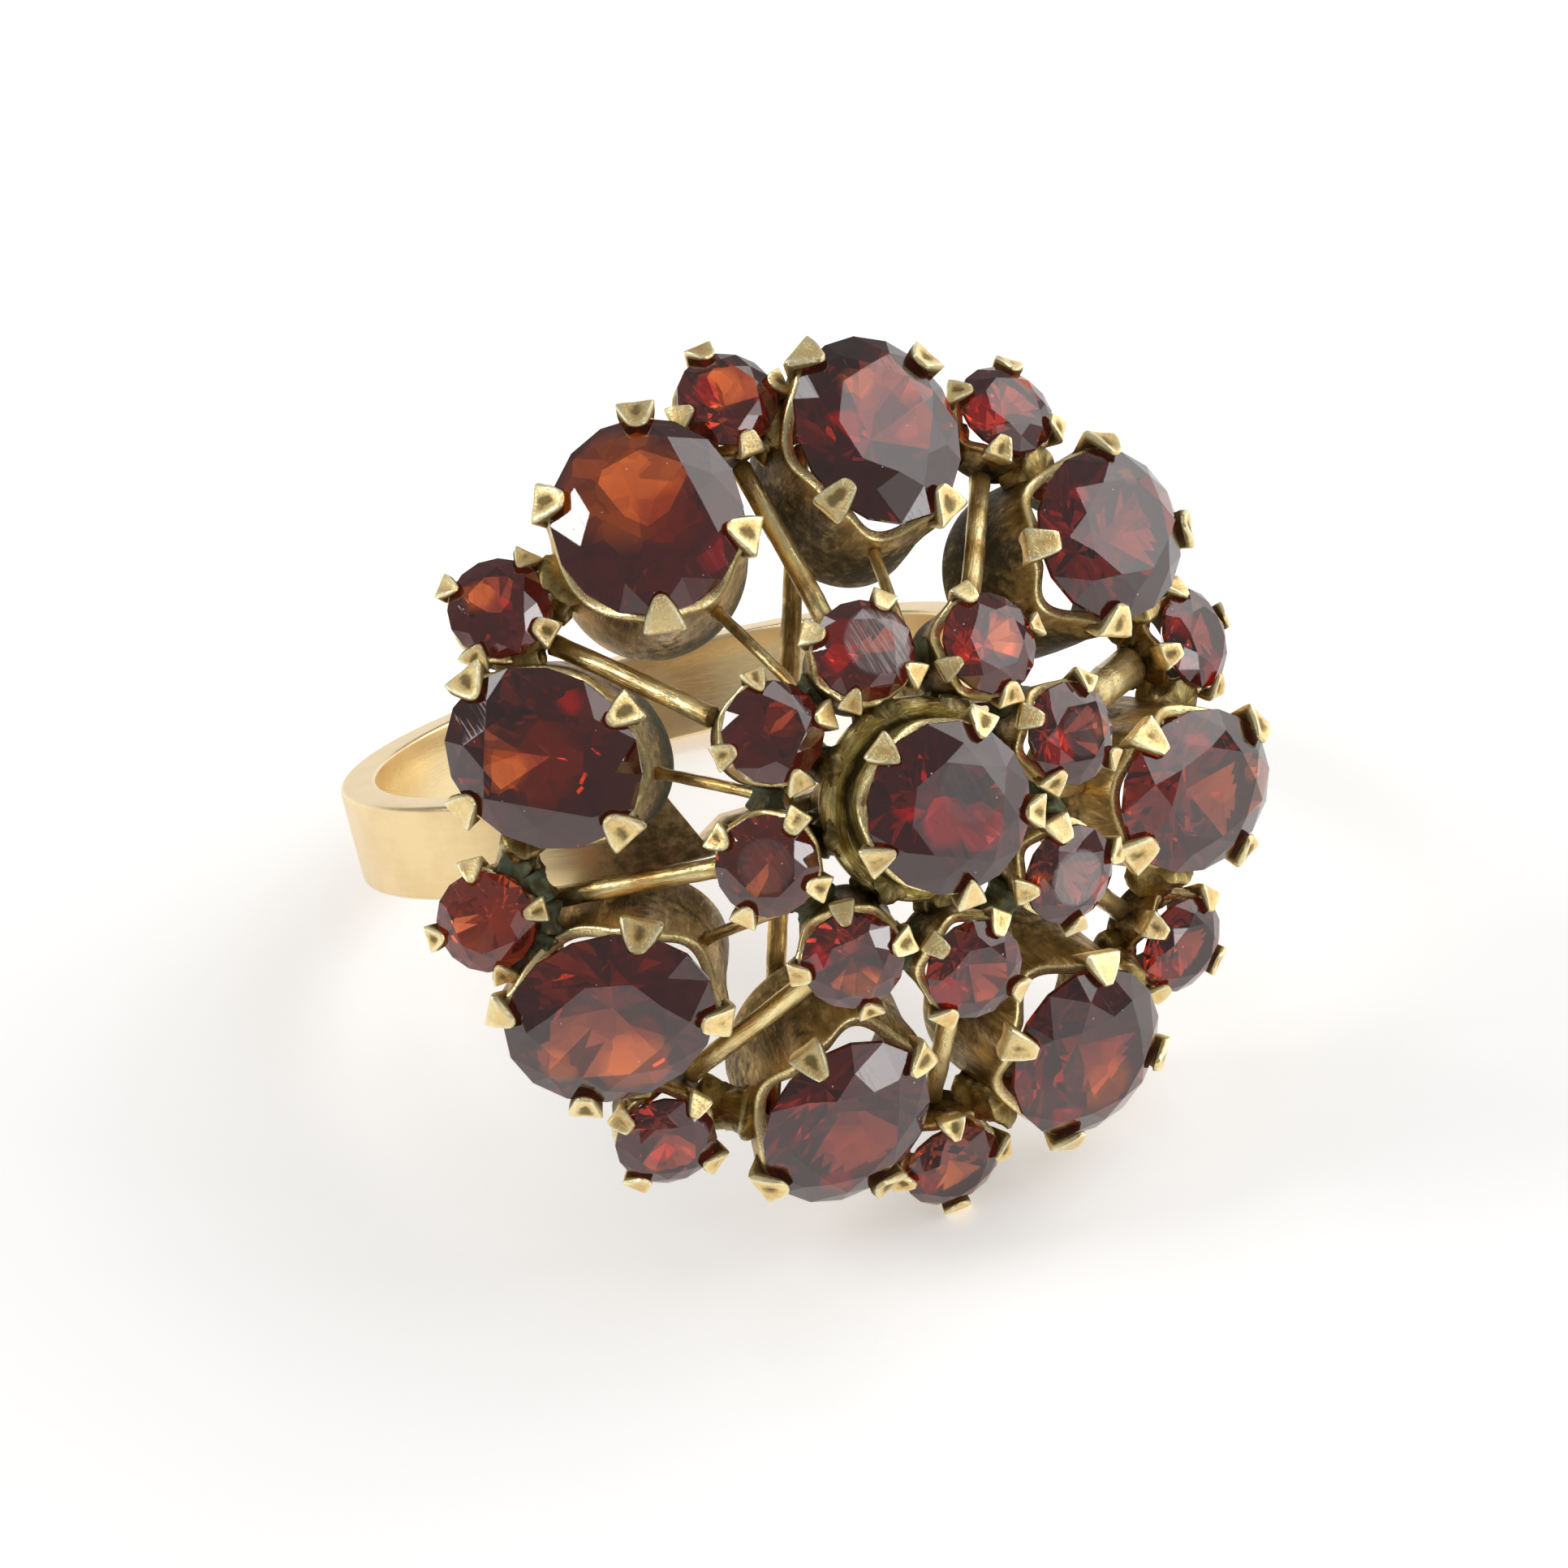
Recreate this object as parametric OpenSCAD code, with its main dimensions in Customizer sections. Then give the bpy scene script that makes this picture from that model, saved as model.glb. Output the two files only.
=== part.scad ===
// Garnet cluster ring: a plain band carries a domed head of twenty-five cut garnets,
// each in its own clawed collet, and the collets are tied together by soldered wires.
// Every size is in millimetres. Before the ring is laid down, the middle of the finger
// hole is the origin, the hole runs along Y and the head stands out along Z.

/* [Band] */
// Diameter of the finger hole
hole_d = 18.4; // [17.6:0.1:18.8]
// Thickness of the band
band_t = 1.1; // [0.9:0.1:1.2]
// Width of the band round the back of the finger
band_w = 2.9; // [2.4:0.1:3.4]
// Width of the strap that closes the band below the head
strap_w = 1; // [0.8:0.05:1.2]
// Bevel along the outer edges of the band
band_bevel = 0.15; // [0.05:0.05:0.25]

/* [Head] */
// Height of the middle stone's girdle above the middle of the finger hole
head_h = 20.5; // [20.3:0.1:22]
// Sideways offset of the head from the middle of the band
head_shift = 0.9; // [0:0.1:1.2]
// Drop from the middle girdle to the girdles of the inner ring
inner_drop = 2.2; // [2:0.1:2.4]
// Drop from the middle girdle to the girdles of the ovals
oval_drop = 6.9; // [6.6:0.1:7.1]
// Drop from the middle girdle to the girdles of the outer ring
outer_drop = 8.8; // [8.5:0.1:9]

/* [Stones] */
// Diameter of the middle stone
middle_d = 5; // [4.8:0.05:5.1]
// Diameter of the small round stones
small_d = 3; // [2.8:0.05:3]
// Width of a stone's table as a share of its own width
table_share = 0.58; // [0.5:0.01:0.64]
// Height of a stone's crown as a share of its width
crown_share = 0.15; // [0.12:0.01:0.17]
// Depth of a stone's pavilion as a share of its width
pavilion_share = 0.4; // [0.36:0.01:0.43]

/* [Collets] */
// Gap between a stone and the metal that holds it
seat_gap = 0.05; // [0.04:0.01:0.07]
// Thickness of the sheet in the large collets
large_wall = 0.34; // [0.3:0.02:0.36]
// Thickness of the sheet in the small collets
small_wall = 0.28; // [0.24:0.02:0.3]
// Depth of the oval collets below the girdle
oval_depth = 3.8; // [3.6:0.1:4]
// Depth of the inner collets below the girdle
inner_depth = 2.4; // [2.2:0.1:2.6]
// Depth of the outer collets below the girdle
outer_depth = 1.9; // [1.8:0.05:2.1]
// Depth of the middle collet below the girdle
middle_depth = 3; // [2.9:0.1:3.2]
// Diameter of the spokes between the inner and the outer collets
spoke_d = 0.62; // [0.5:0.02:0.7]
// Diameter of the fine wires that tie the oval collets to the inner ring
tie_d = 0.36; // [0.3:0.02:0.44]
// Diameter of the bar that crosses below the head
bar_d = 0.6; // [0.5:0.05:0.8]

/* [Hidden] */

// The rows below hold, in order: the angle round the head, the distance from its axis, a small
// rise above the ring's own level, the lean outward, the lean aside, the stone's length and
// width, and the turn of its long side. The stones were set by hand, so no two rows agree.
middle_row = [0, 0, 0, 0, 0, middle_d, middle_d, 0];
inner_rows = [
    [97, 4.7, 0, 22, 0, small_d, small_d, 0],
    [50, 4.9, 0, 20, 0, small_d, small_d, 20],
    [6, 4.9, 0, 17, 0, small_d, small_d, 8],
    [-42, 5.1, 0, 18, -5, small_d, small_d, 0],
    [-87, 5.2, 0, 14, 0, small_d, small_d, 12],
    [-130, 5, 0, 22, -6, small_d, small_d, 30],
    [-175, 5, 0, 24, -3, small_d, small_d, 5],
    [140, 5, 0, 12, -6, small_d, small_d, 22]
];
oval_rows = [
    [72.8, 10.3, 0, 31, 0, 6.1, 5.05, 5],
    [27.7, 10.4, 0, 31, 0, 6, 5.05, -16],
    [-18.3, 10.4, 0, 24, 0, 6.2, 4.8, 11],
    [-64.8, 10.7, 0, 31, 0, 6.1, 5.3, 2],
    [-108.4, 9.9, 0, 31, 0, 6, 4.9, -8],
    [-155.3, 10.2, 0, 31, 0, 6.4, 5.2, -12],
    [158.5, 9.9, 0, 32, 0, 6.05, 5.05, -22],
    [114.9, 10.4, 0, 31, 0, 6.05, 5.6, -38]
];
outer_rows = [
    [92.6, 11.7, 0, 32, -3, small_d, small_d, 10],
    [49.2, 11.8, 0, 38, 8, small_d, small_d, 0],
    [3.5, 11.7, 0, 36, 5, small_d, small_d, 20],
    [-41.7, 12, 0, 27, -5, small_d, small_d, 8],
    [-88.5, 12.1, 0, 33, -3, small_d, small_d, 0],
    [-132.7, 11.8, 0, 30, 4, small_d, small_d, 12],
    [-176, 11.6, 0, 35, -6, small_d, small_d, 30],
    [138.3, 11.8, 0, 33, -8, small_d, small_d, 5]
];
angle_of = 0;
reach_of = 1;
rise_of = 2;
lean_of = 3;
aside_of = 4;
length_of = 5;
width_of = 6;
turn_of = 7;

// Where the claws stand round a stone, as angles from its outward side
middle_claws = [53, 125, 197, 269, 341];
inner_claws = [48, 140, 220, 312];
oval_claws = [38, 145, 215, 322];
outer_claws = [3, 93, 178, 268];

// Places of a wall's columns between two claws, as shares of the way
large_shares = [0, 0.15, 0.38, 0.62, 0.85];
small_shares = [0, 0.2, 0.5, 0.8];

// A claw's reach over the stone, its width, its width at the tip and its thickness
large_claw = [0.5, 1.1, 0.4, 0.42];
small_claw = [0.3, 0.8, 0.3, 0.3];
middle_claw = [0.45, 0.9, 0.3, 0.38];
claw_root = 2.6;

// Heights on a wall and the offset of its outside from the girdle there, from the foot up
oval_levels = [[-oval_depth, -0.25], [-1.6, -0.1]];
inner_levels = [[-inner_depth, -0.15]];
outer_levels = [[-outer_depth, -0.15]];
middle_levels = [[-middle_depth, 0]];

// Height of the walls' rim at the claws, and its dip half way between them
rim_top = -0.14;
large_dip = 1;
small_dip = 0.6;

// Collar round the foot of the middle collet, and the plate that closes it
collar_t = 0.42;
collar_h = 0.9;
hub_t = 0.5;
hub_r = middle_d / 2 + seat_gap + collar_t;

// Solder joints: how deep they enter a wall, how far below the girdle they sit, and their size
joint_inset = 0.05;
middle_joint_z = 2.4;
small_joint_z = 1.6;
large_joint_z = 1.5;
small_joint_d = 0.6;
large_joint_d = 0.7;

// Wires and bar below the head
spoke_sink = 0.4;
tie_z = 1.8;
bar_x = -0.48;
bar_angle = 72.2;
bar_ends = [10.1, -9.7];
pillar_d = 1.4;

// The cut in the band below the head: half its length at each edge of the band, half the
// length of the strap, and the width of the necks at the strap's ends
gap_long = 4.1;
gap_short = 3.05;
strap_half = 2.2;
neck_w = 0.45;

// Turns and shift that lay the ring down, so that the outer claws at the lower edge of the head
// and the back of the band's rim touch the surface at z = 0
rest_roll = 8.144;
rest_tip = 59.162;
rest_heading = 12.6;
rest_x = -3.536;
rest_y = 4.281;
rest_z = 6.448;

band_r = hole_d / 2 + band_t;
girdle_t = 0.12;
star_share = (table_share * cos(22.5) + 1) / 2;
lower_share = 0.25;

// Cut stone: an eight-sided table, eight stars, eight kites, sixteen upper girdle facets,
// a thin girdle, sixteen lower girdle facets and eight mains down to the culet.
function facet_ring(count, first, share, z, l, w) = [
    for (k = [0:count - 1])
        [l / 2 * share * cos(first + k * 360 / count), w / 2 * share * sin(first + k * 360 / count), z]
];
function brilliant_points(l, w) =
    let(
        crown = w * crown_share,
        pavilion = w * pavilion_share,
        top = girdle_t / 2 + crown,
        kite_drop = crown * (star_share * cos(22.5) - table_share) / (1 - table_share),
        main_rise = pavilion * lower_share * cos(22.5)
    )
    concat(
        facet_ring(8, 0, table_share, top, l, w),
        facet_ring(8, 22.5, star_share, top - kite_drop, l, w),
        facet_ring(16, 0, 1, girdle_t / 2, l, w),
        facet_ring(16, 0, 1, -girdle_t / 2, l, w),
        facet_ring(8, 22.5, lower_share, -girdle_t / 2 - pavilion + main_rise, l, w),
        [[0, 0, -girdle_t / 2 - pavilion]]
    );
star_at = 8;
girdle_at = 16;
under_at = 32;
lower_at = 48;
culet_at = 56;
brilliant_faces = concat(
    [[for (k = [7:-1:0]) k]],
    [for (k = [0:7]) [k, (k + 1) % 8, star_at + k]],
    [for (k = [0:7]) [k, star_at + k, girdle_at + 2 * k, star_at + (k + 7) % 8]],
    [for (k = [0:7]) [star_at + k, girdle_at + 2 * k + 1, girdle_at + 2 * k]],
    [for (k = [0:7]) [star_at + k, girdle_at + (2 * k + 2) % 16, girdle_at + 2 * k + 1]],
    [for (j = [0:15]) [girdle_at + j, girdle_at + (j + 1) % 16, under_at + (j + 1) % 16, under_at + j]],
    [for (k = [0:7]) [lower_at + k, under_at + 2 * k, under_at + 2 * k + 1]],
    [for (k = [0:7]) [lower_at + k, under_at + 2 * k + 1, under_at + (2 * k + 2) % 16]],
    [for (k = [0:7]) [culet_at, lower_at + (k + 7) % 8, under_at + 2 * k, lower_at + k]]
);

// A row's own place on the head: girdle plane at z = 0, outward side along X
module set_at(row, drop) {
    translate([head_shift, 0, head_h - drop + row[rise_of]])
        rotate([0, 0, row[angle_of]])
            translate([row[reach_of], 0, 0])
                rotate([0, row[lean_of], 0])
                    rotate([-row[aside_of], 0, 0])
                        children();
}

// The same place for a point, so that wires can run from collet to collet
function tipped(p, row) =
    let(
        a = -row[aside_of],
        b = row[lean_of],
        y = p[1] * cos(a) - p[2] * sin(a),
        z = p[1] * sin(a) + p[2] * cos(a)
    )
    [p[0] * cos(b) + z * sin(b), y, z * cos(b) - p[0] * sin(b)];
function point_at(p, row, drop) =
    let(
        q = tipped(p, row),
        out = row[reach_of] + q[0],
        c = cos(row[angle_of]),
        s = sin(row[angle_of])
    )
    [head_shift + out * c - q[1] * s, out * s + q[1] * c, head_h - drop + row[rise_of] + q[2]];

module stone(row, drop) {
    set_at(row, drop)
        rotate([0, 0, row[turn_of]])
            polyhedron(brilliant_points(row[length_of], row[width_of]), brilliant_faces);
}

// Girdle radius of an oval stone at an angle from its outward side
function girdle_r(row, q) =
    let(a = row[length_of] / 2, b = row[width_of] / 2, t = q - row[turn_of])
    a * b / sqrt(pow(b * cos(t), 2) + pow(a * sin(t), 2));
function girdle_normal(row, q) =
    let(a = row[length_of] / 2, b = row[width_of] / 2, t = q - row[turn_of])
    row[turn_of] + atan2(sin(t) / (b * b), cos(t) / (a * a));

// Columns of a collet's wall, as pairs of an angle and the share of the way to the next claw
function next_claw(claws, i) = i < len(claws) - 1 ? claws[i + 1] : claws[0] + 360;
function wall_columns(claws, shares) = [
    for (i = [0:len(claws) - 1])
        for (f = shares)
            [claws[i] + f * (next_claw(claws, i) - claws[i]), f]
];
function rim_z(f, dip) = -dip * pow(sin(180 * f), 2);

function wall_loop(row, columns, offset, z, dip) = [
    for (c = columns)
        let(r = girdle_r(row, c[0]) + offset)
        [r * cos(c[0]), r * sin(c[0]), z + rim_z(c[1], dip)]
];

// A closed tube-like skin through loops of equal length, the last joined to the first
module looped_skin(loops) {
    n = len(loops[0]);
    m = len(loops);
    polyhedron(
        [for (loop = loops) each loop],
        [
            for (k = [0:m - 1])
                for (j = [0:n - 1])
                    let(up = (k + 1) % m, next = (j + 1) % n)
                    each [
                        [k * n + j, up * n + j, up * n + next],
                        [k * n + j, up * n + next, k * n + next]
                    ]
        ]
    );
}

// Clawed collet. The levels give the height and the offset from the girdle of the wall's
// outside, from the foot up. The rim slopes in under the stone and dips between the claws.
module collet(row, claws, shares, levels, wall, dip, claw) {
    columns = wall_columns(claws, shares);
    top = len(levels) - 1;
    looped_skin(concat(
        [for (v = levels) wall_loop(row, columns, v[1], v[0], 0)],
        [wall_loop(row, columns, 0, rim_top, dip)],
        [wall_loop(row, columns, -wall, rim_top - wall, dip)],
        [for (k = [top:-1:0]) wall_loop(row, columns, levels[k][1] - wall, levels[k][0], 0)]
    ));
    for (q = claws)
        let(r = girdle_r(row, q))
        translate([r * cos(q), r * sin(q), 0])
            rotate([0, 0, girdle_normal(row, q)])
                claw_tip(row, wall, claw);
}

// Claw: a prong rooted in the wall that stands outside the girdle and bends in over the crown.
// Its list gives its reach over the stone, its width, its width at the tip and its thickness.
module claw_tip(row, wall, claw) {
    crown = row[width_of] * crown_share;
    rise = (1 - (star_share * cos(22.5) - table_share) / (1 - table_share)) * crown;
    slope = atan(rise / ((1 - star_share) * row[width_of] / 2));
    base_z = girdle_t / 2 + seat_gap / cos(slope);
    over = claw[0];
    half = claw[1] / 2;
    tip = claw[2] / 2;
    thick = claw[3];
    bend_x = 2.2 * seat_gap;
    profile = [
        [-0.3 * wall, -0.6],
        [bend_x, base_z - bend_x * tan(slope)],
        [-over * cos(slope), base_z + over * sin(slope)],
        [-over * cos(slope) + 0.3 * thick, base_z + over * sin(slope) + 0.35 * thick],
        [bend_x + thick, base_z - 0.2 * thick],
        [-0.1 * wall, -claw_root * thick]
    ];
    halves = [half, half, tip, tip, half, half];
    sides = [[1, 2, 3], [1, 3, 4], [1, 4, 5], [0, 1, 5]];
    n = len(profile);
    polyhedron(
        concat(
            [for (k = [0:n - 1]) [profile[k][0], -halves[k], profile[k][1]]],
            [for (k = [0:n - 1]) [profile[k][0], halves[k], profile[k][1]]]
        ),
        concat(
            [for (k = [0:n - 1]) [k, n + (k + 1) % n, (k + 1) % n]],
            [for (k = [0:n - 1]) [k, n + k, n + (k + 1) % n]],
            sides,
            [for (t = sides) [n + t[0], n + t[2], n + t[1]]]
        )
    );
}

// Straight wire with rounded ends
module wire(from, to, d, sides = 6) {
    hull() {
        translate(from)
            sphere(d = d, $fn = sides);
        translate(to)
            sphere(d = d, $fn = sides);
    }
}

// Middle collet, with a thick collar round its foot and a hub plate that closes it
module middle_collet() {
    set_at(middle_row, 0) {
        collet(middle_row, middle_claws, small_shares, middle_levels, large_wall, small_dip, middle_claw);
        translate([0, 0, -middle_depth])
            rotate_extrude($fn = 20)
                polygon([
                    [0, 0],
                    [hub_r, 0],
                    [hub_r, collar_h],
                    [hub_r - collar_t, collar_h],
                    [hub_r - collar_t, hub_t],
                    [0, hub_t]
                ]);
    }
}

module inner_collets() {
    for (row = inner_rows)
        set_at(row, inner_drop)
            collet(row, inner_claws, small_shares, inner_levels, small_wall, small_dip, small_claw);
}

module oval_collets() {
    for (row = oval_rows)
        set_at(row, oval_drop)
            collet(row, oval_claws, large_shares, oval_levels, large_wall, large_dip, large_claw);
}

module outer_collets() {
    for (row = outer_rows)
        set_at(row, outer_drop)
            collet(row, outer_claws, small_shares, outer_levels, small_wall, small_dip, small_claw);
}

// Spokes run from the inside of each outer collet up to the foot of an inner one
module spokes() {
    for (i = [0:7])
        wire(
            point_at([0.1 - small_d / 2, 0, spoke_sink - outer_depth], outer_rows[i], outer_drop),
            point_at([small_d / 2 - 0.2, 0, spoke_sink - inner_depth], inner_rows[i], inner_drop),
            spoke_d
        );
}

// Solder joints fill the narrow gaps between neighbouring collets, below the girdles
function side_of(row, drop, goal) =
    let(
        c = point_at([0, 0, 0], row, drop),
        u = point_at([1, 0, 0], row, drop) - c,
        v = point_at([0, 1, 0], row, drop) - c
    )
    atan2((goal - c) * v, (goal - c) * u);
function wall_spot(row, drop, goal, depth) =
    let(q = side_of(row, drop, goal), r = girdle_r(row, q) - joint_inset)
    point_at([r * cos(q), r * sin(q), -depth], row, drop);
function joint_spot(a, a_drop, b, b_drop, depth) =
    wall_spot(a, a_drop, point_at([0, 0, -depth], b, b_drop), depth);
module joint(a, a_drop, b, b_drop, depth, d) {
    wire(joint_spot(a, a_drop, b, b_drop, depth), joint_spot(b, b_drop, a, a_drop, depth), d, 4);
}
module joints() {
    for (i = [0:7]) {
        next = (i + 1) % 8;
        joint(middle_row, 0, inner_rows[i], inner_drop, middle_joint_z, small_joint_d);
        joint(inner_rows[i], inner_drop, inner_rows[next], inner_drop, small_joint_z, small_joint_d);
        joint(oval_rows[i], oval_drop, outer_rows[i], outer_drop, large_joint_z, large_joint_d);
        joint(oval_rows[i], oval_drop, outer_rows[next], outer_drop, large_joint_z, large_joint_d);
    }
}

// Fine wires run from the joint between two inner collets to the near side of an oval one
module ties() {
    for (i = [0:7]) {
        a = inner_rows[i];
        b = inner_rows[(i + 1) % 8];
        start = (joint_spot(a, inner_drop, b, inner_drop, small_joint_z)
            + joint_spot(b, inner_drop, a, inner_drop, small_joint_z)) / 2;
        wire(start, wall_spot(oval_rows[i], oval_drop, start, tie_z), tie_d);
    }
}

// A bar crosses below the head, from the outer wall of one oval collet to the one opposite
module bar() {
    wire(
        [bar_x + bar_ends[0] * cos(bar_angle), bar_ends[0] * sin(bar_angle), band_r + 0.1],
        [bar_x + bar_ends[1] * cos(bar_angle), bar_ends[1] * sin(bar_angle), band_r + 0.1],
        bar_d
    );
}

// The pillar rises from the strap to the foot of the middle collet
module pillar() {
    wire(
        [head_shift, (strap_w - band_w) / 2, band_r - 0.3],
        [head_shift, 0, head_h - middle_depth + 0.2],
        pillar_d
    );
}

// The band. Below the head it is cut down to a strap, between two slanted ends.
module band() {
    low = -band_w / 2;
    high = band_w / 2;
    difference() {
        rotate([90, 0, 0])
            rotate_extrude($fn = 128)
                polygon([
                    [hole_d / 2, low],
                    [band_r - band_bevel, low],
                    [band_r, low + band_bevel],
                    [band_r, high - band_bevel],
                    [band_r - band_bevel, high],
                    [hole_d / 2, high]
                ]);
        translate([0, 0, hole_d / 4])
            linear_extrude(hole_d / 2)
                polygon([
                    [-gap_long, high + 1],
                    [-gap_long, high],
                    [-gap_short, low + neck_w],
                    [-strap_half, low + strap_w],
                    [strap_half, low + strap_w],
                    [gap_short, low + neck_w],
                    [gap_long, high],
                    [gap_long, high + 1]
                ]);
    }
}

// The whole ring as it lies on its side
module laid_down() {
    translate([rest_x, rest_y, rest_z])
        rotate([0, 0, rest_heading])
            rotate([rest_tip, 0, 0])
                rotate([0, rest_roll, 0])
                    children();
}

// The mounting is soldered up of the band and the head
module mounting_band() {
    color("goldenrod")
        band();
}

module mounting_head() {
    color("darkgoldenrod") {
        middle_collet();
        inner_collets();
        oval_collets();
        outer_collets();
        spokes();
        ties();
        joints();
        bar();
        pillar();
    }
}

module middle_stone() {
    color("darkred")
        stone(middle_row, 0);
}

module inner_stone(i) {
    color("firebrick")
        stone(inner_rows[i], inner_drop);
}

module oval_stone(i) {
    color("maroon")
        stone(oval_rows[i], oval_drop);
}

module outer_stone(i) {
    color("firebrick")
        stone(outer_rows[i], outer_drop);
}

laid_down() mounting_band();  // mounting
laid_down() mounting_head();  // mounting
laid_down() middle_stone();
for (i = [0:7]) {
    laid_down() inner_stone(i);
    laid_down() oval_stone(i);
    laid_down() outer_stone(i);
}
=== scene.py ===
import math
import random

import bpy
from mathutils import Matrix, Vector, noise


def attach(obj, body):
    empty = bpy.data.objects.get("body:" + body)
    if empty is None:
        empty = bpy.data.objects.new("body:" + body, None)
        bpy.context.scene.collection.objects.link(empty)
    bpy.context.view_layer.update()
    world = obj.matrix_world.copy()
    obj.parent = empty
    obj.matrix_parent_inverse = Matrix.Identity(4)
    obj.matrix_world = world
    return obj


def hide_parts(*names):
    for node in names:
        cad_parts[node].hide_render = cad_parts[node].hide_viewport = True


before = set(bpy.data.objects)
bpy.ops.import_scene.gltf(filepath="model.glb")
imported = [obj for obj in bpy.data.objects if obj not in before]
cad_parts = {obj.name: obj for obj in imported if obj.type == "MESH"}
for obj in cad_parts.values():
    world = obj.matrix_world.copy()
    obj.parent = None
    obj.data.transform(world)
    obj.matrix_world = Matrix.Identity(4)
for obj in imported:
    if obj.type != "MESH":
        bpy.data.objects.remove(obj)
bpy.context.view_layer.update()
print("packed ring loaded")

# The ring is made in its own frame in millimetres: finger hole along y, head out along z.
# ringToFloor lays it on its side as the solids lie, and turns millimetres into metres.
metre = 1000  # in millimetres
lie = {"roll": 8.144, "tip": 59.162, "heading": 12.6, "shift": (-3.536, 4.281, 6.448)}
ringToFloor = (
    Matrix.Scale(1 / metre, 4)
    @ Matrix.Translation(lie["shift"])
    @ Matrix.Rotation(math.radians(lie["heading"]), 4, "Z")
    @ Matrix.Rotation(math.radians(lie["tip"]), 4, "X")
    @ Matrix.Rotation(math.radians(lie["roll"]), 4, "Y")
)

# The head: height over the finger hole, shift along x, room between stone and metal
head = {"height": 20.5, "shift": 0.9, "seatGap": 0.05, "girdleHalf": 0.06}
drops = {"middle": 0, "inner": 2.2, "oval": 6.9, "outer": 8.8}  # of each row below the middle
# each stone, in degrees and millimetres:
# angle round the head, reach, lean out, lean aside, length, width, turn
rows = {
    "middle": [(0, 0, 0, 0, 5, 5, 0)],
    "inner": [
        (97, 4.7, 22, 0, 3, 3, 0),
        (50, 4.9, 20, 0, 3, 3, 20),
        (6, 4.9, 17, 0, 3, 3, 8),
        (-42, 5.1, 18, -5, 3, 3, 0),
        (-87, 5.2, 14, 0, 3, 3, 12),
        (-130, 5, 22, -6, 3, 3, 30),
        (-175, 5, 24, -3, 3, 3, 5),
        (140, 5, 12, -6, 3, 3, 22),
    ],
    "oval": [
        (72.8, 10.3, 31, 0, 6.1, 5.05, 5),
        (27.7, 10.4, 31, 0, 6, 5.05, -16),
        (-18.3, 10.4, 24, 0, 6.2, 4.8, 11),
        (-64.8, 10.7, 31, 0, 6.1, 5.3, 2),
        (-108.4, 9.9, 31, 0, 6, 4.9, -8),
        (-155.3, 10.2, 31, 0, 6.4, 5.2, -12),
        (158.5, 9.9, 32, 0, 6.05, 5.05, -22),
        (114.9, 10.4, 31, 0, 6.05, 5.6, -38),
    ],
    "outer": [
        (92.6, 11.7, 32, -3, 3, 3, 10),
        (49.2, 11.8, 38, 8, 3, 3, 0),
        (3.5, 11.7, 36, 5, 3, 3, 20),
        (-41.7, 12, 27, -5, 3, 3, 8),
        (-88.5, 12.1, 33, -3, 3, 3, 0),
        (-132.7, 11.8, 30, 4, 3, 3, 12),
        (-176, 11.6, 35, -6, 3, 3, 30),
        (138.3, 11.8, 33, -8, 3, 3, 5),
    ],
}


def seatMatrix(row, drop):
    # a stone's own place: girdle plane at z = 0, outward side along x
    angle, reach, lean, aside = row[:4]
    return (
        Matrix.Translation((head["shift"], 0, head["height"] - drop))
        @ Matrix.Rotation(math.radians(angle), 4, "Z")
        @ Matrix.Translation((reach, 0, 0))
        @ Matrix.Rotation(math.radians(lean), 4, "Y")
        @ Matrix.Rotation(math.radians(-aside), 4, "X")
    )


def girdleRadius(row, angle):
    a, b, t = row[4] / 2, row[5] / 2, math.radians(angle - row[6])
    return a * b / math.hypot(b * math.cos(t), a * math.sin(t))


def girdleNormal(row, angle):
    # which way the girdle faces at an angle round the stone
    a, b, t = row[4] / 2, row[5] / 2, math.radians(angle - row[6])
    return row[6] + math.degrees(math.atan2(math.sin(t) / (b * b), math.cos(t) / (a * a)))


def smooth(t):
    t = min(1, max(0, t))
    return t * t * (3 - 2 * t)


def blendTo(a, b, t):
    return a + (b - a) * t


def along(table, t):
    # reads a table of (t, value, value, ...) rows with straight runs between them
    for low, high in zip(table, table[1:]):
        if t <= high[0]:
            share = max(0, (t - low[0]) / (high[0] - low[0]))
            return [blendTo(a, b, share) for a, b in zip(low[1:], high[1:])]
    return list(table[-1][1:])


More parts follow.
